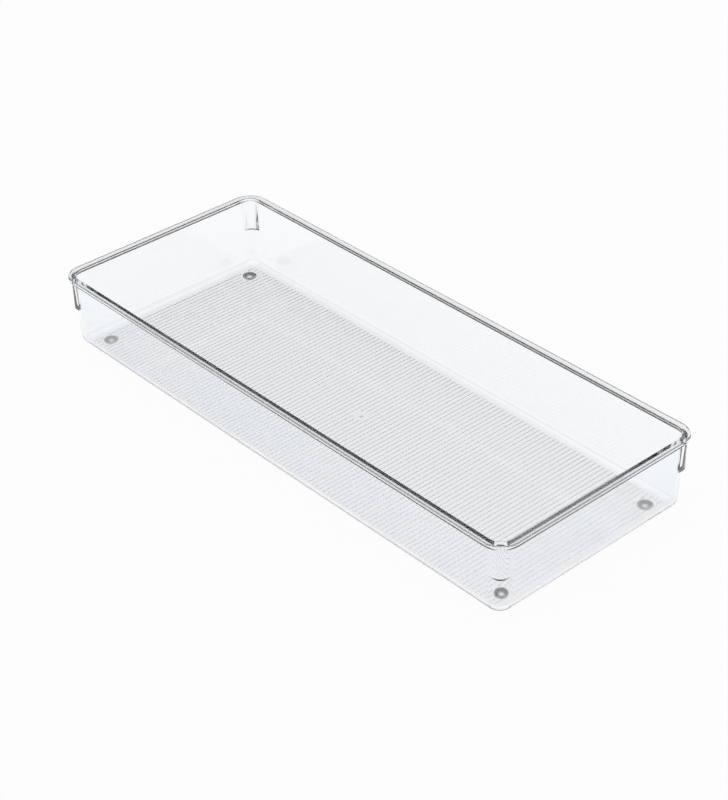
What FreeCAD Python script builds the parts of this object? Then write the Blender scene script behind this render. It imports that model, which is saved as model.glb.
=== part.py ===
"""Clear drawer organizer tray: one injection moulding on four stick-on feet.

Frame, in millimetres: X along the tray's length, -Y the front long side, +Z up.
The origin is the centre of the footprint, on the surface that the feet stand on.

The moulding has drafted walls with a rounded base edge, a thick bead round the
rim, a round stop lug under the bead on each corner, and a fluted underside with
a plain pad behind every foot and round the moulding gate.
"""
import FreeCAD, Part
import math
import os
import Sketcher

Vector = FreeCAD.Vector
UP = Vector(0, 0, 1)

doc = FreeCAD.newDocument("drawer_organizer_insert")


# ---------------------------------------------------------------- dimensions
DIMENSIONS = (
    ("tray_length", 381.0, "outside of the rim bead, along X"),
    ("tray_width", 152.4, "outside of the rim bead, along Y"),
    ("overall_height", 50.8, "from the surface to the top of the rim"),
    ("corner_radius", 13.0, "outside of the rim bead, in plan"),
    ("wall_thickness", 1.75, "side walls"),
    ("wall_draft", 1.8, "lean of the walls, in degrees"),
    ("floor_thickness", 2.0, "floor, from the lands between the flutes"),
    ("base_rounding", 6.5, "outer edge from wall to underside"),
    ("floor_rounding", 4.6, "inner edge from wall to floor"),
    ("rim_overhang", 3.1, "how far the bead stands out past the wall"),
    ("rim_depth", 2.9, "height of the bead"),
    ("rim_rounding", 0.8, "the bead's three free edges"),
    ("lug_bottom", 27.6, "underside of the corner lugs, above the surface"),
    ("lug_diameter", 10.0, "corner lug, a round post half sunk in the corner"),
    ("lug_setback", 1.7, "lug's face, behind the outside of the bead"),
    ("flute_pitch", 3.2, "one flute to the next"),
    ("flute_width", 1.6, "mouth of a flute"),
    ("flute_depth", 0.13, "depth of a flute"),
    ("flute_side_margin", 0.6, "plain land past the ends of the flutes"),
    ("flute_end_margin", 3.0, "plain land past the last flute"),
    ("foot_diameter", 9.0, "foot, at the face that is stuck on"),
    ("foot_height", 2.2, "foot"),
    ("foot_edge", 0.3, "upright edge round the foot"),
    ("foot_contact", 3.0, "diameter of the flat that the foot stands on"),
    ("foot_end_distance", 19.2, "foot's centre to the end of the rim"),
    ("foot_side_distance", 20.8, "foot's centre to the side of the rim"),
    ("foot_pad_diameter", 12.0, "plain pad behind a foot"),
    ("gate_pad_diameter", 10.0, "plain pad round the gate"),
    ("gate_nub_diameter", 2.4, "stub left where the gate was cut"),
    ("gate_nub_height", 0.4, "height of that stub"),
)

sheet = doc.addObject("Spreadsheet::Sheet", "dimensions")
for row, (name, value, meaning) in enumerate(DIMENSIONS, start=1):
    sheet.set(f"A{row}", name)
    sheet.set(f"B{row}", str(value))
    sheet.set(f"C{row}", meaning)
    sheet.setAlias(f"B{row}", name)
doc.recompute()

# Lengths that several features share, as sheet expressions.
WALL_DROP = "(dimensions.overall_height - dimensions.foot_height)"
DRAFT_INSET = f"({WALL_DROP} * tan(dimensions.wall_draft * 1 deg))"
FLAT_INSET = f"(dimensions.rim_overhang + {DRAFT_INSET} + dimensions.base_rounding)"
RIM_WIDTH = "(dimensions.rim_overhang + dimensions.wall_thickness)"
FLOOR_TOP = "(dimensions.foot_height + dimensions.floor_thickness)"
RIM_UNDERSIDE = "(dimensions.overall_height - dimensions.rim_depth)"
FLUTE_LENGTH = f"(dimensions.tray_width - 2 * ({FLAT_INSET} + dimensions.flute_side_margin))"
FLUTED_LENGTH = f"(dimensions.tray_length - 2 * ({FLAT_INSET} + dimensions.flute_end_margin))"
FLUTE_COUNT = f"(floor({FLUTED_LENGTH} / dimensions.flute_pitch) + 1)"
FLUTES_SPAN = f"(({FLUTE_COUNT} - 1) * dimensions.flute_pitch)"
FOOT_X = "(dimensions.tray_length / 2 - dimensions.foot_end_distance)"
FOOT_Y = "(dimensions.tray_width / 2 - dimensions.foot_side_distance)"


def amount(expression):
    """The number that a sheet expression comes to."""
    result = sheet.evalExpression(expression)
    return float(getattr(result, "Value", result))


# ------------------------------------------------------------ sketch helpers
def origin_item(body, role):
    """The body's own origin plane or axis with this role."""
    return next(item for item in body.Origin.OriginFeatures if item.Role == role)


def new_sketch(body, name, plane, height="0"):
    """A sketch on one of the body's origin planes, moved up by an expression."""
    sketch = body.newObject("Sketcher::SketchObject", name)
    sketch.AttachmentSupport = [(origin_item(body, plane), "")]
    sketch.MapMode = "FlatFace"
    sketch.setExpression("AttachmentOffset.Base.z", height)
    return sketch


def rule(sketch, *terms):
    """A constraint with no size, such as a tangent or a horizontal."""
    sketch.addConstraint(Sketcher.Constraint(*terms))


def size(sketch, label, expression, *terms):
    """A named dimension of the sketch, tied to the sheet."""
    index = sketch.addConstraint(Sketcher.Constraint(*terms, amount(expression)))
    sketch.renameConstraint(index, label)
    sketch.setExpression(f"Constraints.{label}", expression)


def line(sketch, start, end):
    return sketch.addGeometry(Part.LineSegment(Vector(*start), Vector(*end)))


def arc(sketch, centre, radius, start_degrees, end_degrees):
    circle = Part.Circle(Vector(*centre), UP, radius)
    angles = math.radians(start_degrees), math.radians(end_degrees)
    return sketch.addGeometry(Part.ArcOfCircle(circle, *angles))


def rounded_rectangle(sketch, inset):
    """The rim's outline, moved in by an inset and centred on the origin."""
    length = f"dimensions.tray_length - 2 * {inset}"
    width = f"dimensions.tray_width - 2 * {inset}"
    radius = f"dimensions.corner_radius - {inset}"
    x, y, r = amount(length) / 2, amount(width) / 2, amount(radius)
    sides = [
        line(sketch, (r - x, -y), (x - r, -y)),
        line(sketch, (x, r - y), (x, y - r)),
        line(sketch, (x - r, y), (r - x, y)),
        line(sketch, (-x, y - r), (-x, r - y)),
    ]
    corners = [
        arc(sketch, (x - r, r - y), r, 270, 360),
        arc(sketch, (x - r, y - r), r, 0, 90),
        arc(sketch, (r - x, y - r), r, 90, 180),
        arc(sketch, (r - x, r - y), r, 180, 270),
    ]
    for place in range(4):
        rule(sketch, "Tangent", sides[place], 2, corners[place], 1)
        rule(sketch, "Tangent", corners[place], 2, sides[(place + 1) % 4], 1)
        rule(sketch, "Vertical" if place % 2 else "Horizontal", sides[place])
    for corner in corners[1:]:
        rule(sketch, "Equal", corners[0], corner)
    rule(sketch, "Symmetric", corners[0], 3, corners[2], 3, -1, 1)
    size(sketch, "length", length, "DistanceX", sides[3], 1, sides[1], 1)
    size(sketch, "width", width, "DistanceY", sides[0], 1, sides[2], 1)
    size(sketch, "radius", radius, "Radius", corners[0])


def disc(sketch, label, x, y, diameter):
    """A circle about a point that expressions place."""
    circle = Part.Circle(Vector(amount(x), amount(y), 0), UP, amount(diameter) / 2)
    index = sketch.addGeometry(circle)
    size(sketch, f"{label}_x", x, "DistanceX", -1, 1, index, 3)
    size(sketch, f"{label}_y", y, "DistanceY", -1, 1, index, 3)
    size(sketch, f"{label}_diameter", diameter, "Diameter", index)


def pad(body, name, sketch, length, downwards=False):
    feature = body.newObject("PartDesign::Pad", name)
    feature.Profile = sketch
    feature.Reversed = downwards
    feature.setExpression("Length", length)
    return feature


def round_edges(body, name, base, edges, radius):
    feature = body.newObject("PartDesign::Fillet", name)
    feature.Base = (base, edges)
    feature.setExpression("Radius", radius)
    doc.recompute()
    return feature


# ------------------------------------------------------------------ the tray
def inset_of(point):
    """How far inside the rim's outer outline a point lies, in plan."""
    radius = amount("dimensions.corner_radius")
    x = abs(point.x) - (amount("dimensions.tray_length") / 2 - radius)
    y = abs(point.y) - (amount("dimensions.tray_width") / 2 - radius)
    return radius - (math.hypot(x, y) if min(x, y) > 0 else max(x, y))


def outline_edges(shape, height, inset):
    """Names of the edges that follow the outline at one height and inset."""
    found = []
    for number, edge in enumerate(shape.Edges, start=1):
        box = edge.BoundBox
        level = max(abs(box.ZMin - height), abs(box.ZMax - height)) < 0.01
        middle = edge.valueAt((edge.FirstParameter + edge.LastParameter) / 2)
        if level and abs(inset_of(middle) - inset) < 0.01:
            found.append(f"Edge{number}")
    return found


def tray_block(body):
    """The tray's outer form before it is hollowed: walls, base edge and bead."""
    outline = new_sketch(body, "wall_outline", "XY_Plane", "dimensions.overall_height")
    rounded_rectangle(outline, "dimensions.rim_overhang")
    walls = pad(body, "walls", outline, WALL_DROP, downwards=True)
    walls.setExpression("TaperAngle", "-dimensions.wall_draft * 1 deg")
    doc.recompute()

    base_inset = amount(f"dimensions.rim_overhang + {DRAFT_INSET}")
    edges = outline_edges(walls.Shape, amount("dimensions.foot_height"), base_inset)
    round_edges(body, "base_edge", walls, edges, "dimensions.base_rounding")

    outline = new_sketch(body, "rim_outline", "XY_Plane", "dimensions.overall_height")
    rounded_rectangle(outline, "0")
    bead = pad(body, "rim_bead", outline, "dimensions.rim_depth", downwards=True)
    doc.recompute()
    edges = outline_edges(bead.Shape, amount("dimensions.overall_height"), 0)
    edges += outline_edges(bead.Shape, amount(RIM_UNDERSIDE), 0)
    round_edges(body, "rim_outer_edges", bead, edges, "dimensions.rim_rounding")


def corner_lugs(body):
    """A round lug on each corner: it runs down from the bead and stops square."""
    middle_of_bead = "(dimensions.overall_height - dimensions.rim_depth / 2)"
    reach = "(dimensions.corner_radius - dimensions.lug_setback - dimensions.lug_diameter / 2)"
    beyond_centre = f"{reach} * sqrt(0.5)"
    x = f"dimensions.tray_length / 2 - dimensions.corner_radius + {beyond_centre}"
    y = f"dimensions.tray_width / 2 - dimensions.corner_radius + {beyond_centre}"
    sketch = new_sketch(body, "lug_outline", "XY_Plane", middle_of_bead)
    disc(sketch, "lug", x, y, "dimensions.lug_diameter")
    drop = f"{middle_of_bead} - dimensions.lug_bottom"
    lug = pad(body, "corner_lug", sketch, drop, downwards=True)
    doc.recompute()

    lugs = body.newObject("PartDesign::MultiTransform", "corner_lugs")
    lugs.Originals = [lug]
    mirrors = []
    for name, plane in (("to_both_ends", "YZ_Plane"), ("to_both_sides", "XZ_Plane")):
        mirror = doc.addObject("PartDesign::Mirrored", name)
        mirror.MirrorPlane = (origin_item(body, plane), [""])
        body.addObject(mirror)
        mirrors.append(mirror)
    lugs.Transformations = mirrors
    body.Tip = lugs
    doc.recompute()


def cavity(body):
    """The hollow, with the walls' own draft, down to the floor."""
    outline = new_sketch(body, "cavity_outline", "XY_Plane", "dimensions.overall_height")
    rounded_rectangle(outline, RIM_WIDTH)
    hollow = body.newObject("PartDesign::Pocket", "cavity")
    hollow.Profile = outline
    hollow.setExpression("Length", f"{WALL_DROP} - dimensions.floor_thickness")
    hollow.setExpression("TaperAngle", "-dimensions.wall_draft * 1 deg")
    doc.recompute()

    edges = outline_edges(hollow.Shape, amount("dimensions.overall_height"), amount(RIM_WIDTH))
    inner = round_edges(body, "rim_inner_edge", hollow, edges, "dimensions.rim_rounding")

    drop = f"({WALL_DROP} - dimensions.floor_thickness)"
    floor_inset = amount(f"{RIM_WIDTH} + {drop} * tan(dimensions.wall_draft * 1 deg)")
    edges = outline_edges(inner.Shape, amount(FLOOR_TOP), floor_inset)
    round_edges(body, "floor_edge", inner, edges, "dimensions.floor_rounding")


def fluted_underside(body):
    """Fine V flutes across the underside, all along the tray."""
    sketch = new_sketch(body, "flute_section", "XZ_Plane")
    x, z = -amount(FLUTES_SPAN) / 2, amount("dimensions.foot_height")
    half, depth = amount("dimensions.flute_width") / 2, amount("dimensions.flute_depth")
    mouth = line(sketch, (x - half, z), (x + half, z))
    rise = line(sketch, (x + half, z), (x, z + depth))
    fall = line(sketch, (x, z + depth), (x - half, z))
    rule(sketch, "Coincident", mouth, 2, rise, 1)
    rule(sketch, "Coincident", rise, 2, fall, 1)
    rule(sketch, "Coincident", fall, 2, mouth, 1)
    rule(sketch, "Horizontal", mouth)
    rule(sketch, "Equal", rise, fall)
    size(sketch, "to_first", f"{FLUTES_SPAN} / 2", "DistanceX", rise, 2, -1, 1)
    size(sketch, "level", "dimensions.foot_height", "DistanceY", -1, 1, mouth, 1)
    size(sketch, "mouth", "dimensions.flute_width", "DistanceX", mouth, 1, mouth, 2)
    size(sketch, "depth", "dimensions.flute_depth", "DistanceY", mouth, 2, rise, 2)

    flute = body.newObject("PartDesign::Pocket", "flute")
    flute.Profile = sketch
    flute.Midplane = True
    flute.setExpression("Length", FLUTE_LENGTH)
    doc.recompute()

    flutes = body.newObject("PartDesign::LinearPattern", "flutes")
    flutes.Originals = [flute]
    flutes.Direction = (origin_item(body, "X_Axis"), [""])
    flutes.setExpression("Length", FLUTES_SPAN)
    flutes.setExpression("Occurrences", FLUTE_COUNT)
    body.Tip = flutes
    doc.recompute()


def plain_pads(body):
    """Smooth discs in the flutes, behind the feet and round the gate."""
    sketch = new_sketch(body, "pad_outlines", "XY_Plane", "dimensions.foot_height")
    for label, side_x, side_y in FOOT_PLACES:
        x, y = f"{side_x} * {FOOT_X}", f"{side_y} * {FOOT_Y}"
        disc(sketch, label, x, y, "dimensions.foot_pad_diameter")
    disc(sketch, "gate", "0", "0", "dimensions.gate_pad_diameter")
    fill = "(dimensions.floor_thickness + dimensions.flute_depth) / 2"
    pad(body, "plain_pads", sketch, fill)

    sketch = new_sketch(body, "nub_outline", "XY_Plane", "dimensions.foot_height")
    disc(sketch, "nub", "0", "0", "dimensions.gate_nub_diameter")
    pad(body, "gate_nub", sketch, "dimensions.gate_nub_height", downwards=True)


def make_tray():
    body = doc.addObject("PartDesign::Body", "tray")
    body.Label = "tray"
    tray_block(body)
    corner_lugs(body)
    cavity(body)
    fluted_underside(body)
    plain_pads(body)
    return body


# ------------------------------------------------------------------ the feet
FOOT_PLACES = (
    ("foot_front_left", -1, -1),
    ("foot_front_right", 1, -1),
    ("foot_back_left", -1, 1),
    ("foot_back_right", 1, 1),
)


def make_foot(label, side_x, side_y):
    """A soft clear dome, stuck by its wide face to a plain pad."""
    body = doc.addObject("PartDesign::Body", label)
    body.Label = label
    sketch = new_sketch(body, f"{label}_section", "XZ_Plane")
    radius, contact = amount("dimensions.foot_diameter") / 2, amount("dimensions.foot_contact") / 2
    top, edge = amount("dimensions.foot_height"), amount("dimensions.foot_edge")
    shoulder = top - edge
    # The dome's centre is on the axis, as far from the shoulder as from the contact flat.
    rise = (radius ** 2 - contact ** 2 + shoulder ** 2) / (2 * shoulder)
    sphere = math.hypot(contact, rise)
    start = math.degrees(math.atan2(-rise, contact))
    end = math.degrees(math.atan2(shoulder - rise, radius))

    flat = line(sketch, (0, 0), (contact, 0))
    dome = arc(sketch, (0, rise), sphere, start, end)
    side = line(sketch, (radius, shoulder), (radius, top))
    face = line(sketch, (radius, top), (0, top))
    axis = line(sketch, (0, top), (0, 0))
    rule(sketch, "Coincident", flat, 2, dome, 1)
    rule(sketch, "Coincident", dome, 2, side, 1)
    rule(sketch, "Coincident", side, 2, face, 1)
    rule(sketch, "Coincident", face, 2, axis, 1)
    rule(sketch, "Coincident", axis, 2, flat, 1)
    rule(sketch, "Coincident", flat, 1, -1, 1)
    rule(sketch, "Horizontal", flat)
    rule(sketch, "Horizontal", face)
    rule(sketch, "Vertical", side)
    rule(sketch, "Vertical", axis)
    rule(sketch, "PointOnObject", dome, 3, -2)
    size(sketch, "contact", "dimensions.foot_contact / 2", "DistanceX", flat, 1, flat, 2)
    size(sketch, "radius", "dimensions.foot_diameter / 2", "DistanceX", face, 2, face, 1)
    size(sketch, "edge", "dimensions.foot_edge", "DistanceY", side, 1, side, 2)
    size(sketch, "foot_height", "dimensions.foot_height", "DistanceY", axis, 2, axis, 1)

    turned = body.newObject("PartDesign::Revolution", f"{label}_dome")
    turned.Profile = sketch
    turned.ReferenceAxis = (sketch, ["V_Axis"])
    turned.Angle = 360
    body.setExpression("Placement.Base.x", f"{side_x} * {FOOT_X}")
    body.setExpression("Placement.Base.y", f"{side_y} * {FOOT_Y}")
    return body


# --------------------------------------------------------- build and export
def check(parts):
    """Stop if any feature failed or any sub-part isn't one sound solid."""
    for item in doc.Objects:
        if "Invalid" in item.State or "Error" in item.State:
            raise RuntimeError(f"{item.Name}: {item.State}")
    for part in parts:
        shape = part.Shape
        if shape.isNull() or not shape.isValid() or len(shape.Solids) != 1:
            raise RuntimeError(f"{part.Label} isn't one valid solid")


def export(parts):
    os.makedirs("parts", exist_ok=True)
    for part in parts:
        part.Shape.exportStep(os.path.join("parts", f"{part.Label}.step"))
        print(f"{part.Label}: {part.Shape.Volume / 1000:.2f} cm3, {len(part.Shape.Faces)} faces")


parts = [make_tray()] + [make_foot(*place) for place in FOOT_PLACES]
doc.recompute()
check(parts)
export(parts)
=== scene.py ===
"""Looks of the clear drawer organizer tray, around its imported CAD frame.

Metres, in the row frame: X along the tray, -Y its front side, Z up from the surface that it stands on.
The clear moulding and its feet are rebuilt as fine meshes with exact normals, because refraction shows
every facet; their sizes are those of the CAD nodes that they stand for.
"""
import math

import bpy
from mathutils import Matrix, Vector


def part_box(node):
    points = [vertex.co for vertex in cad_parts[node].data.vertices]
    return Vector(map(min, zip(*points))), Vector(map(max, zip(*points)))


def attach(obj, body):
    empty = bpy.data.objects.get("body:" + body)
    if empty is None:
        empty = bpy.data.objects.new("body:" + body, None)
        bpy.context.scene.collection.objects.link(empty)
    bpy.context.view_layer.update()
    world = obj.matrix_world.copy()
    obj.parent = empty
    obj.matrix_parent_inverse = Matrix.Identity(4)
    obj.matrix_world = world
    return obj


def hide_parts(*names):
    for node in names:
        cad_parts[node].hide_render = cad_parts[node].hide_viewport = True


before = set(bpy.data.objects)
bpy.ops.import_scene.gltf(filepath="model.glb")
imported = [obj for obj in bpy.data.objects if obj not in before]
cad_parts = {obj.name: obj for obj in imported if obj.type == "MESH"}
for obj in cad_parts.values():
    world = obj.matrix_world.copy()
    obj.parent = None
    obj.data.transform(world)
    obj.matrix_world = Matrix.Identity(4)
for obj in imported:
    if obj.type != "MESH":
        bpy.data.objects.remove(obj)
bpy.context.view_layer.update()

MM = 0.001
NEARNESS = 1e-7
DOWN = Vector((0, 0, -1))
UP = Vector((0, 0, 1))

# ------------------------------------------------------------------ sizes
# Overall sizes come from the frame; the rest are the moulding's own sizes.
_, tray_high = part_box("tray")
_, foot_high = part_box("foot_front_left")

HALF_LENGTH = tray_high.x
HALF_WIDTH = tray_high.y
RIM_TOP = tray_high.z
UNDERSIDE = foot_high.z
CORNER_RADIUS = 13.0 * MM
WALL = 1.75 * MM
DRAFT = math.radians(1.8)
FLOOR_TOP = UNDERSIDE + 2.0 * MM
BASE_ROUNDING = 6.5 * MM
FLOOR_ROUNDING = 4.6 * MM
RIM_OVERHANG = 3.1 * MM
RIM_UNDERSIDE = RIM_TOP - 2.9 * MM
RIM_ROUNDING = 0.8 * MM
LUG_BOTTOM = 27.6 * MM
LUG_SETBACK = 1.7 * MM
FLUTE_PITCH = 3.2 * MM
FLUTE_WIDTH = 1.6 * MM
FLUTE_DEPTH = 0.13 * MM
FLUTE_SIDE_MARGIN = 0.6 * MM
FLUTE_END_MARGIN = 3.0 * MM
FOOT_PAD_RADIUS = 6.0 * MM
GATE_PAD_RADIUS = 5.0 * MM
GATE_NUB_RADIUS = 1.2 * MM
GATE_NUB_HEIGHT = 0.4 * MM
GATE_NUB_ROOT = 0.04 * MM
FOOT_EDGE = 0.3 * MM
FOOT_CONTACT_RADIUS = 1.5 * MM
FOOT_BOND = 0.02 * MM

# How finely the round parts are cut.
CORNER_STEPS = 36
LUG_STEPS = 34
LUG_LEVELS = 6
BASE_STEPS = 12
FLOOR_STEPS = 10
BEAD_STEPS = 10
FLUTE_STEPS = 8
NUB_STEPS = 32
DOME_STEPS = 16
FOOT_STEPS = 96

FEET = ("foot_front_left", "foot_front_right", "foot_back_left", "foot_back_right")


# ------------------------------------------------------- meshes with normals
class Skin:
    """Vertices and faces, with a normal of its own for every corner of every face."""

    def __init__(self):
        self.points, self.faces, self.normals = [], [], []
        self.known = {}

    def add(self, points):
        """Ids of these points. A point that is already there keeps its id, so surfaces join up."""
        ids = []
        for point in points:
            key = tuple(round(value / NEARNESS) for value in point)
            if key not in self.known:
                self.known[key] = len(self.points)
                self.points.append(tuple(point))
            ids.append(self.known[key])
        return ids

    def face(self, corners, normals):
        """A face, less the corners that fall together, unless too few are left."""
        kept = [place for place, corner in enumerate(corners) if corner != corners[place - 1]]
        if len(kept) > 2:
            self.faces.append(tuple(corners[place] for place in kept))
            self.normals += [tuple(normals[place]) for place in kept]

    def flat(self, corners, normal):
        self.face(corners, [normal] * len(corners))

    def strip(self, low, high, low_normals, high_normals, columns=None):
        """Quads between two closed rings of the same count, all round or in some columns."""
        count = len(low)
        for here in range(count) if columns is None else columns:
            after = (here + 1) % count
            corners = (low[here], low[after], high[after], high[here])
            normals = (low_normals[here], low_normals[after], high_normals[after], high_normals[here])
            self.face(corners, normals)

    def section(self, ring, stretches, columns_of=None):
        """Carries a section's stretches round a closed ring. Returns the rings at the stretches' ends.

        ring(inset, height) gives the points of one ring and the outward directions at them."""
        ends = []
        last = None
        for number, stretch in enumerate(stretches):
            for place, ((inset, height), (inwards, up)) in enumerate(stretch):
                points, outwards = ring(inset, height)
                normals = [out * -inwards + UP * up for out in outwards]
                if place == 0:
                    ids = last[0] if last else self.add(points)
                    if not last:
                        ends.append(ids)
                else:
                    ids = self.add(points)
                    columns = columns_of(number) if columns_of else None
                    self.strip(last[0], ids, last[1], normals, columns)
                last = (ids, normals)
            ends.append(last[0])
        return ends

    def build(self, name):
        mesh = bpy.data.meshes.new(name)
        mesh.from_pydata(self.points, [], self.faces)
        mesh.shade_smooth()
        mesh.normals_split_custom_set(self.normals)
        piece = bpy.data.objects.new(name, mesh)
        bpy.context.scene.collection.objects.link(piece)
        return piece


def line(start, end):
    """A straight stretch of a section: its two points, with the normal on its left-hand side."""
    run = (Vector(end) - Vector(start)).normalized()
    normal = (-run.y, run.x)
    return [(start, normal), (end, normal)]


def arc(centre, radius, start, end, steps, hollow=False):
    """A round stretch of a section, between two angles in radians."""
    sign = -1 if hollow else 1
    stretch = []
    for step in range(steps + 1):
        angle = start + (end - start) * step / steps
        out = (math.cos(angle), math.sin(angle))
        point = (centre[0] + radius * out[0], centre[1] + radius * out[1])
        stretch.append((point, (sign * out[0], sign * out[1])))
    return stretch


# ---------------------------------------------------------------- the tray
# Each corner is (side along X, side along Y, compass angle where its round starts, in degrees).
CORNERS = ((1, -1, -90), (1, 1, 0), (-1, 1, 90), (-1, -1, 180))
LUG_ANGLE = math.radians(90) * LUG_STEPS / CORNER_STEPS


def corner_centre(side_x, side_y, height):
    return Vector((side_x * (HALF_LENGTH - CORNER_RADIUS), side_y * (HALF_WIDTH - CORNER_RADIUS), height))


def direction(angle):
    return Vector((math.cos(angle), math.sin(angle), 0))


def tray_ring(inset, height):
    """The rim's outline moved in by an inset, as points, and the outward directions at them."""
    points, outwards = [], []
    for side_x, side_y, first in CORNERS:
        for step in range(CORNER_STEPS + 1):
            out = direction(math.radians(first + 90 * step / CORNER_STEPS))
            points.append(corner_centre(side_x, side_y, height) + out * (CORNER_RADIUS - inset))
            outwards.append(out)
    return points, outwards


def lug_ring(height):
    """The wall's ring at one height, swollen at each corner to a lug that blends into the wall."""
    points, outwards = tray_ring(wall_inset(height), height)
    wall = CORNER_RADIUS - wall_inset(height)
    most = wall_inset(height) - LUG_SETBACK
    for columns in lug_columns():
        for step in range(LUG_STEPS + 1):
            place = columns[0] + step
            phase = math.pi * (step / LUG_STEPS - 0.5)
            swell = most * math.cos(phase) ** 2
            slope = -most * math.sin(2 * phase) * math.pi / LUG_ANGLE
            out = outwards[place]
            points[place] = points[place] + out * swell
            outwards[place] = (out * (wall + swell) - UP.cross(out) * slope).normalized()
    return points, outwards


def wall_inset(height):
    """How far the wall's outer face is inside the rim's outline."""
    return RIM_OVERHANG + (RIM_TOP - height) * math.tan(DRAFT)


def tray_section():
    """The section from the underside, up the outside, over the bead and down to the floor.

    Points are (inset, height). Each stretch carries its own normals, so edges stay sharp between them."""
    base_height = UNDERSIDE + BASE_ROUNDING
    base_centre = (wall_inset(base_height) + BASE_ROUNDING / math.cos(DRAFT), base_height)
    floor_height = FLOOR_TOP + FLOOR_ROUNDING
    floor_centre = (WALL + wall_inset(floor_height) + FLOOR_ROUNDING / math.cos(DRAFT), floor_height)
    bead_low = RIM_UNDERSIDE + RIM_ROUNDING
    bead_high = RIM_TOP - RIM_ROUNDING
    inner_centre = (WALL + wall_inset(bead_high) - RIM_ROUNDING / math.cos(DRAFT), bead_high)
    quarter = math.pi / 2

    base = arc(base_centre, BASE_ROUNDING, 3 * quarter, math.pi + DRAFT, BASE_STEPS)
    wall_low = line(base[-1][0], (wall_inset(LUG_BOTTOM), LUG_BOTTOM))
    wall_high = [((wall_inset(height), height), wall_low[0][1]) for height in lug_levels()]
    lip = line(wall_high[-1][0], (RIM_ROUNDING, RIM_UNDERSIDE))
    under = arc((RIM_ROUNDING, bead_low), RIM_ROUNDING, 3 * quarter, 2 * quarter, BEAD_STEPS)
    face = line(under[-1][0], (0, bead_high))
    over = arc((RIM_ROUNDING, bead_high), RIM_ROUNDING, 2 * quarter, quarter, BEAD_STEPS)
    inner = arc(inner_centre, RIM_ROUNDING, quarter, DRAFT, BEAD_STEPS)
    top = line(over[-1][0], inner[0][0])
    floor = arc(floor_centre, FLOOR_ROUNDING, math.pi + DRAFT, 3 * quarter, FLOOR_STEPS, hollow=True)
    cavity = line(inner[-1][0], floor[0][0])
    return [base, wall_low, wall_high, lip, under, face, over, top, inner, cavity, floor]


# Places of two stretches in that section, which the lugs take over at the corners.
WALL_HIGH = 2
LIP = 3


def lug_levels():
    """Heights from the lugs' underside to the bead's."""
    rise = RIM_UNDERSIDE - LUG_BOTTOM
    return [LUG_BOTTOM + rise * step / LUG_LEVELS for step in range(LUG_LEVELS + 1)]


def lug_columns():
    """Columns of the rings that a lug covers, on the four corners."""
    before = (CORNER_STEPS - LUG_STEPS) // 2
    starts = [corner * (CORNER_STEPS + 1) + before for corner in range(4)]
    return [range(start, start + LUG_STEPS) for start in starts]


def lugs(skin, wall_end, lip_end):
    """Four soft lugs that swell out of the wall under the bead and stop square."""
    covered = [column for columns in lug_columns() for column in columns]
    downwards = [DOWN] * len(wall_end)
    last = None
    for height in lug_levels():
        points, outwards = lug_ring(height)
        ids = skin.add(points)
        if last:
            skin.strip(last[0], ids, last[1], outwards, covered)
        else:
            skin.strip(wall_end, ids, downwards, downwards, covered)
        last = (ids, outwards)
    skin.strip(last[0], lip_end, downwards, downwards, covered)


def pads():
    """Centres and radii of the plain discs in the flutes."""
    discs = [(0, 0, GATE_PAD_RADIUS)]
    for foot in FEET:
        low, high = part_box(foot)
        discs.append(((low.x + high.x) / 2, (low.y + high.y) / 2, FOOT_PAD_RADIUS))
    return discs


def flute_stations(lines, reach):
    """Where one flute starts and stops along Y, on each of the lines that run along it."""
    stations = [[-reach] * len(lines)]
    for centre_x, centre_y, radius in sorted(pads(), key=lambda disc: disc[1]):
        squares = [radius ** 2 - (line_x - centre_x) ** 2 for line_x in lines]
        if min(squares) > 0:
            chords = [math.sqrt(square) for square in squares]
            stations.append([centre_y - chord for chord in chords])
            stations.append([centre_y + chord for chord in chords])
    return stations + [[reach] * len(lines)]


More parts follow.
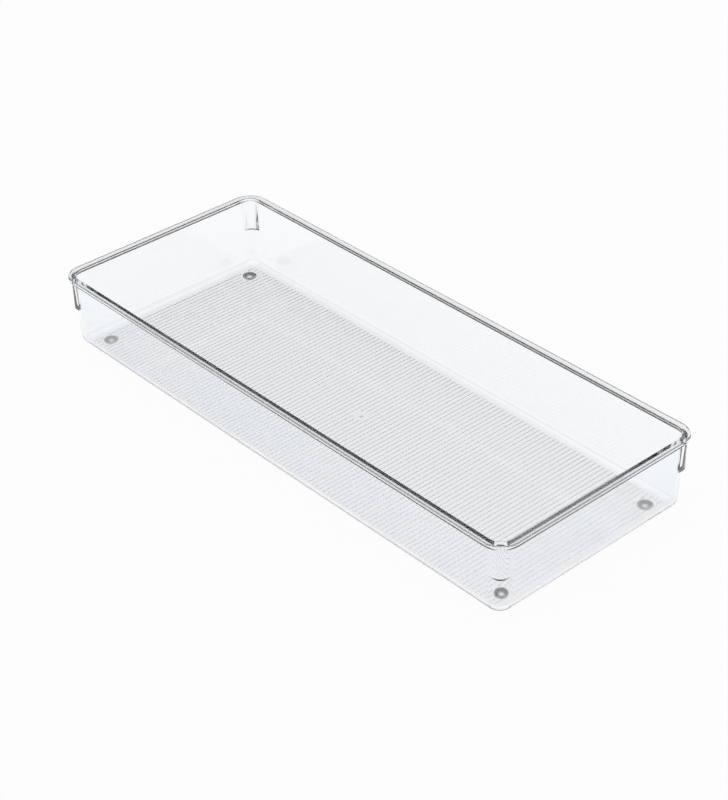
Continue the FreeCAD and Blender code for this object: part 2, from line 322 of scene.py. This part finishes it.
def flutes(skin, outline):
    """The underside inside its rounded outline: lands, soft round flutes between them, and plain pads."""
    inset = wall_inset(UNDERSIDE) + BASE_ROUNDING
    reach = HALF_WIDTH - inset - FLUTE_SIDE_MARGIN
    count = int(2 * (HALF_LENGTH - inset - FLUTE_END_MARGIN) / FLUTE_PITCH) + 1
    half = FLUTE_WIDTH / 2
    radius = (half ** 2 + FLUTE_DEPTH ** 2) / (2 * FLUTE_DEPTH)
    across = [half * (2 * step / FLUTE_STEPS - 1) for step in range(FLUTE_STEPS + 1)]
    normals = [Vector((-shift, 0, -math.sqrt(radius ** 2 - shift ** 2))) / radius for shift in across]
    heights = [UNDERSIDE + FLUTE_DEPTH - radius * (1 + normal.z) for normal in normals]
    left_lips, right_lips = [], []
    for number in range(count):
        x = (number - (count - 1) / 2) * FLUTE_PITCH
        stations = flute_stations([x + shift for shift in across], reach)
        rows = [skin.add([(x + shift, y, height) for shift, y, height in zip(across, ys, heights)])
                for ys in stations]
        left, right = [row[0] for row in rows], [row[-1] for row in rows]
        for here in range(len(stations) - 1):
            start, stop = rows[here], rows[here + 1]
            if here % 2:
                skin.flat((left[here], left[here + 1], right[here + 1], right[here]), DOWN)
                continue
            for step in range(FLUTE_STEPS):
                corners = (start[step], stop[step], stop[step + 1], start[step + 1])
                skin.face(corners, [normals[step], normals[step], normals[step + 1], normals[step + 1]])
            skin.flat(start, Vector((0, 1, 0)))
            skin.flat(stop[::-1], Vector((0, -1, 0)))
        left_lips.append(left)
        right_lips.append(right)
    for right, left in zip(right_lips, left_lips[1:]):
        skin.flat(right + left[::-1], DOWN)

    lips = list(zip(left_lips, right_lips))
    sides = [
        [lip[0] for pair in lips for lip in pair],
        right_lips[-1],
        [lip[-1] for pair in lips[::-1] for lip in pair[::-1]],
        left_lips[0][::-1],
    ]
    middles = [corner * (CORNER_STEPS + 1) + CORNER_STEPS // 2 for corner in range(4)]
    for side, inner in enumerate(sides):
        start, stop = middles[side - 1], middles[side]
        stop += len(outline) if stop < start else 0
        outer = [outline[place % len(outline)] for place in range(start, stop + 1)]
        skin.flat(inner + outer[::-1], DOWN)


def round_ring(centre, radius, count):
    """A ring for Skin.section: circles about an upright axis, moved in from one radius."""
    outwards = [Vector((math.cos(turn), math.sin(turn), 0)) for turn in
                (2 * math.pi * step / count for step in range(count))]

    def ring(inset, height):
        base = Vector((centre[0], centre[1], height))
        return [base + out * (radius - inset) for out in outwards], outwards
    return ring


def gate_nub(skin):
    """The short stub at the centre of the underside, rooted in the floor."""
    root = UNDERSIDE + GATE_NUB_ROOT
    tip = UNDERSIDE - GATE_NUB_HEIGHT
    ends = skin.section(round_ring((0, 0), GATE_NUB_RADIUS, NUB_STEPS), [line((0, tip), (0, root))])
    skin.flat(ends[0][::-1], DOWN)
    skin.flat(ends[1], UP)


def make_tray():
    skin = Skin()
    covered = {column for columns in lug_columns() for column in columns}
    clear = [column for column in range(4 * (CORNER_STEPS + 1)) if column not in covered]

    def columns_of(number):
        return clear if number in (WALL_HIGH, LIP) else None

    ends = skin.section(tray_ring, tray_section(), columns_of)
    lugs(skin, wall_end=ends[WALL_HIGH], lip_end=ends[LIP + 1])
    skin.flat(ends[-1], UP)
    flutes(skin, ends[0])
    gate_nub(skin)
    return skin.build("clear_tray")


# ---------------------------------------------------------------- the feet
def make_foot(node):
    """A clear dome whose wide face is bonded to its pad, so it lies a hair inside it."""
    low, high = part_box(node)
    centre = ((low.x + high.x) / 2, (low.y + high.y) / 2)
    radius = (high.x - low.x) / 2
    shoulder = high.z - FOOT_EDGE
    rise = (radius ** 2 - FOOT_CONTACT_RADIUS ** 2 + shoulder ** 2) / (2 * shoulder)
    sphere = math.hypot(FOOT_CONTACT_RADIUS, rise)
    start = 2 * math.pi + math.atan2(-rise, -FOOT_CONTACT_RADIUS)
    end = 2 * math.pi + math.atan2(shoulder - rise, -radius)
    dome = arc((radius, rise), sphere, start, end, DOME_STEPS)
    side = line(dome[-1][0], (0, high.z + FOOT_BOND))
    skin = Skin()
    ends = skin.section(round_ring(centre, radius, FOOT_STEPS), [dome, side])
    skin.flat(ends[0][::-1], DOWN)
    skin.flat(ends[-1], UP)
    return skin.build(f"clear_{node}")


# -------------------------------------------------------------- node helpers
def vector_math(nodes, links, operation, socket, value=(0, 0, 0)):
    node = nodes.new("ShaderNodeVectorMath")
    node.operation = operation
    node.inputs[1].default_value = value
    links.new(socket, node.inputs[0])
    return node


def number_math(nodes, links, operation, first, second):
    """The result of a sum of two sockets, or of a socket and a number."""
    node = nodes.new("ShaderNodeMath")
    node.operation = operation
    links.new(first, node.inputs[0])
    if isinstance(second, (int, float)):
        node.inputs[1].default_value = second
    else:
        links.new(second, node.inputs[1])
    return node.outputs[0]


def soft_step(nodes, links, socket, low, high):
    """1 where the socket's value is past a soft step, else 0."""
    node = nodes.new("ShaderNodeMapRange")
    node.interpolation_type = "SMOOTHSTEP"
    node.inputs["From Min"].default_value = low
    node.inputs["From Max"].default_value = high
    links.new(socket, node.inputs["Value"])
    return node.outputs["Result"]


def noise(nodes, links, place, scale, detail):
    node = nodes.new("ShaderNodeTexNoise")
    node.inputs["Scale"].default_value = scale
    node.inputs["Detail"].default_value = detail
    links.new(place, node.inputs["Vector"])
    return node.outputs["Fac"]


def colour_mix(nodes, links, factor, first, second):
    """A colour between two, as far along as the factor's socket says."""
    node = nodes.new("ShaderNodeMix")
    node.data_type = "RGBA"
    node.inputs[6].default_value = (*first, 1)
    node.inputs[7].default_value = (*second, 1)
    links.new(factor, node.inputs[0])
    return node.outputs[2]


# --------------------------------------------------------------- materials
PLASTIC_IOR = 1.57
PLASTIC_TINTS = ((0.966, 0.986, 1.0), (0.974, 0.982, 1.0))
PLASTIC_DEPTH_COLOUR = (0.82, 0.93, 1.0, 1)
PLASTIC_DENSITY = 2
FINEST_POLISH = 0.02
DULLEST_AT_FLOOR = 0.20
DULLEST_AT_RIM = 0.06
RIPPLE_STRENGTH = 0.04
RIPPLE_HEIGHT = 0.2 * MM

RUBBER_IOR = 1.49
RUBBER_ROUGHNESS = 0.05
RUBBER_CLEAR = (0.96, 0.96, 0.95)
# Grey of the painted shade on the feet's dome sides.
RUBBER_PAINTED_SHADE = (0.05, 0.05, 0.047)


def new_material(name):
    material = bpy.data.materials.new(name)
    material.use_nodes = True
    nodes, links = material.node_tree.nodes, material.node_tree.links
    return material, nodes, links, nodes["Principled BSDF"]


def clear_plastic():
    """Moulded styrene: cool through its thickness, with soft flow marks in its tint and its polish.

    The polish is finest on the bead and dullest on the floor."""
    material, nodes, links, shader = new_material("clear_plastic")
    shader.inputs["Transmission Weight"].default_value = 1
    shader.inputs["IOR"].default_value = PLASTIC_IOR
    place = nodes.new("ShaderNodeTexCoord").outputs["Object"]

    stretched = vector_math(nodes, links, "MULTIPLY", place, (0.6, 1, 1)).outputs["Vector"]
    clouds = noise(nodes, links, stretched, scale=24, detail=2)
    cloudy = soft_step(nodes, links, clouds, 0.35, 0.65)
    tint = colour_mix(nodes, links, cloudy, *PLASTIC_TINTS)
    links.new(tint, shader.inputs["Base Color"])

    drawn_out = vector_math(nodes, links, "MULTIPLY", place, (0.2, 1, 1)).outputs["Vector"]
    streaks = noise(nodes, links, drawn_out, scale=180, detail=3)
    height = nodes.new("ShaderNodeSeparateXYZ")
    links.new(place, height.inputs[0])
    dullest = nodes.new("ShaderNodeMapRange")
    dullest.inputs["From Max"].default_value = RIM_UNDERSIDE
    dullest.inputs["To Min"].default_value = DULLEST_AT_FLOOR
    dullest.inputs["To Max"].default_value = DULLEST_AT_RIM
    links.new(height.outputs["Z"], dullest.inputs["Value"])
    polish = nodes.new("ShaderNodeMapRange")
    polish.inputs["To Min"].default_value = FINEST_POLISH
    links.new(dullest.outputs["Result"], polish.inputs["To Max"])
    links.new(streaks, polish.inputs["Value"])
    links.new(polish.outputs["Result"], shader.inputs["Roughness"])

    ripple = nodes.new("ShaderNodeBump")
    ripple.inputs["Strength"].default_value = RIPPLE_STRENGTH
    ripple.inputs["Distance"].default_value = RIPPLE_HEIGHT
    links.new(streaks, ripple.inputs["Height"])
    links.new(ripple.outputs["Normal"], shader.inputs["Normal"])

    depth = nodes.new("ShaderNodeVolumeAbsorption")
    depth.inputs["Color"].default_value = PLASTIC_DEPTH_COLOUR
    depth.inputs["Density"].default_value = PLASTIC_DENSITY
    links.new(depth.outputs["Volume"], nodes["Material Output"].inputs["Volume"])
    return material


def clear_rubber():
    """Soft polyurethane, clear, with painted shade: grey on the dome's curved sides, clear where its flat
    touches the surface.
    """
    material, nodes, links, shader = new_material("clear_rubber")
    place = nodes.new("ShaderNodeTexCoord").outputs["Generated"]
    centred = vector_math(nodes, links, "SUBTRACT", place, (0.5, 0.5, 0))
    level = vector_math(nodes, links, "MULTIPLY", centred.outputs["Vector"], (1, 1, 0))
    reach = vector_math(nodes, links, "LENGTH", level.outputs["Vector"]).outputs["Value"]
    height = nodes.new("ShaderNodeSeparateXYZ")
    links.new(place, height.inputs[0])
    # Painted shade: the dome's curved sides, away from its middle and below its bonded face, turn grey in
    # place of the shadowed floor that they show.
    side = soft_step(nodes, links, reach, 0.04, 0.28)
    dome = soft_step(nodes, links, height.outputs["Z"], 0.97, 0.9)
    painted_shade_mask = number_math(nodes, links, "MULTIPLY", side, dome)
    painted_shade_colour = colour_mix(nodes, links, painted_shade_mask, RUBBER_CLEAR, RUBBER_PAINTED_SHADE)
    links.new(painted_shade_colour, shader.inputs["Base Color"])
    shader.inputs["Transmission Weight"].default_value = 1
    shader.inputs["IOR"].default_value = RUBBER_IOR
    shader.inputs["Roughness"].default_value = RUBBER_ROUGHNESS
    return material


# ------------------------------------------------------------------- stage
FLOOR_GLOW = 0.96
FLOOR_SIZE = 8
FLOOR_DROP = 0.05 * MM
FLOOR_PAINT = (0.9, 0.9, 0.9, 1)


def make_floor():
    """A plain pale surface under the feet, white to the eye and through the plastic."""
    bpy.ops.mesh.primitive_plane_add(size=FLOOR_SIZE, location=(0, 0, -FLOOR_DROP))
    floor = bpy.context.object
    floor.name = "studio_floor"
    material = bpy.data.materials.new("pale_floor")
    material.use_nodes = True
    nodes, links = material.node_tree.nodes, material.node_tree.links
    nodes.clear()
    output = nodes.new("ShaderNodeOutputMaterial")
    paint = nodes.new("ShaderNodeBsdfDiffuse")
    paint.inputs["Color"].default_value = FLOOR_PAINT
    glow = nodes.new("ShaderNodeEmission")
    glow.inputs["Strength"].default_value = 1.0
    rays = nodes.new("ShaderNodeLightPath")
    seen = rays.outputs["Is Camera Ray"]
    for kind in ("Is Glossy Ray", "Is Transmission Ray"):
        seen = number_math(nodes, links, "MAXIMUM", seen, rays.outputs[kind])
    share = number_math(nodes, links, "MULTIPLY", seen, FLOOR_GLOW)
    mix = nodes.new("ShaderNodeMixShader")
    links.new(share, mix.inputs[0])
    links.new(paint.outputs[0], mix.inputs[1])
    links.new(glow.outputs[0], mix.inputs[2])
    links.new(mix.outputs[0], output.inputs["Surface"])
    floor.data.materials.append(material)


# The studio as the plastic shows it: white low down and overhead, with an unlit band all round between,
# which reaches higher behind the object. Each zone of it is (compass angle of its middle, half its width,
# lowest slope, highest slope), with angles in degrees anticlockwise from +X and slopes as the sine of the
# elevation.
DARK_ZONES = ((138.8, 30, 0.24, 0.80), (115.0, 85, 0.55, 0.84), (318.8, 150, 0.24, 0.64))
SOFTNESS = 0.04
UNLIT = 0.02


def sky_zone(nodes, links, compass, rise, zone):
    """1 inside a zone of the sky, else 0."""
    middle, half_width, lowest, highest = zone
    facing = vector_math(nodes, links, "DOT_PRODUCT", compass, direction(math.radians(middle)))
    edge = math.cos(math.radians(half_width))
    across = soft_step(nodes, links, facing.outputs["Value"], edge - SOFTNESS, edge + SOFTNESS)
    rising = soft_step(nodes, links, rise, lowest - SOFTNESS, lowest + SOFTNESS)
    falling = soft_step(nodes, links, rise, highest + SOFTNESS, highest - SOFTNESS)
    upright = number_math(nodes, links, "MULTIPLY", rising, falling)
    return number_math(nodes, links, "MULTIPLY", across, upright)


def make_world():
    world = bpy.data.worlds.new("studio")
    bpy.context.scene.world = world
    world.use_nodes = True
    nodes, links = world.node_tree.nodes, world.node_tree.links
    nodes.clear()
    output = nodes.new("ShaderNodeOutputWorld")
    background = nodes.new("ShaderNodeBackground")
    background.inputs["Color"].default_value = (1, 1, 1, 1)
    coordinates = nodes.new("ShaderNodeTexCoord")
    parts = nodes.new("ShaderNodeSeparateXYZ")
    levelled = vector_math(nodes, links, "MULTIPLY", coordinates.outputs["Generated"], (1, 1, 0))
    compass = vector_math(nodes, links, "NORMALIZE", levelled.outputs["Vector"])
    links.new(coordinates.outputs["Generated"], parts.inputs[0])

    rise = parts.outputs["Z"]
    zones = [sky_zone(nodes, links, compass.outputs["Vector"], rise, zone) for zone in DARK_ZONES]
    dark = zones[0]
    for zone in zones[1:]:
        dark = number_math(nodes, links, "MAXIMUM", dark, zone)
    brightness = nodes.new("ShaderNodeMapRange")
    brightness.inputs["To Min"].default_value = 1
    brightness.inputs["To Max"].default_value = UNLIT
    links.new(dark, brightness.inputs["Value"])
    links.new(brightness.outputs["Result"], background.inputs["Strength"])
    links.new(background.outputs[0], output.inputs["Surface"])


CAMERA_AZIMUTH = math.radians(48.85)
CAMERA_ELEVATION = math.radians(34.05)
CAMERA_ROLL = math.radians(-1.49)
CAMERA_DISTANCE = 1.227
CAMERA_TARGET = (-12.5 * MM, 13.3 * MM, UNDERSIDE)
LENS = 92.6
SENSOR = 36


def make_camera():
    """A long lens above the front right corner."""
    azimuth, elevation, roll = CAMERA_AZIMUTH, CAMERA_ELEVATION, CAMERA_ROLL
    flat = math.cos(elevation)
    back = Vector((math.sin(azimuth) * flat, -math.cos(azimuth) * flat, math.sin(elevation)))
    level = Vector((math.cos(azimuth), math.sin(azimuth), 0))
    rise = back.cross(level)
    right = level * math.cos(roll) + rise * math.sin(roll)
    up = rise * math.cos(roll) - level * math.sin(roll)
    camera = bpy.data.objects.new("camera", bpy.data.cameras.new("camera"))
    camera.matrix_world = Matrix((right, up, back)).transposed().to_4x4()
    camera.location = Vector(CAMERA_TARGET) + back * CAMERA_DISTANCE
    camera.data.sensor_width = SENSOR
    camera.data.lens = LENS
    bpy.context.scene.collection.objects.link(camera)
    bpy.context.scene.camera = camera


# ----------------------------------------------------------------- assembly
BOUNCES = 24

make_floor()
make_world()
make_camera()
bpy.context.scene.view_settings.view_transform = "Standard"
bounces = bpy.context.scene.cycles
bounces.max_bounces = BOUNCES
bounces.glossy_bounces = BOUNCES
bounces.transmission_bounces = BOUNCES

tray = make_tray()
tray.data.materials.append(clear_plastic())
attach(tray, "root")
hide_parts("tray")

rubber = clear_rubber()
for node in FEET:
    foot = make_foot(node)
    foot.data.materials.append(rubber)
    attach(foot, "root")
    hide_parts(node)
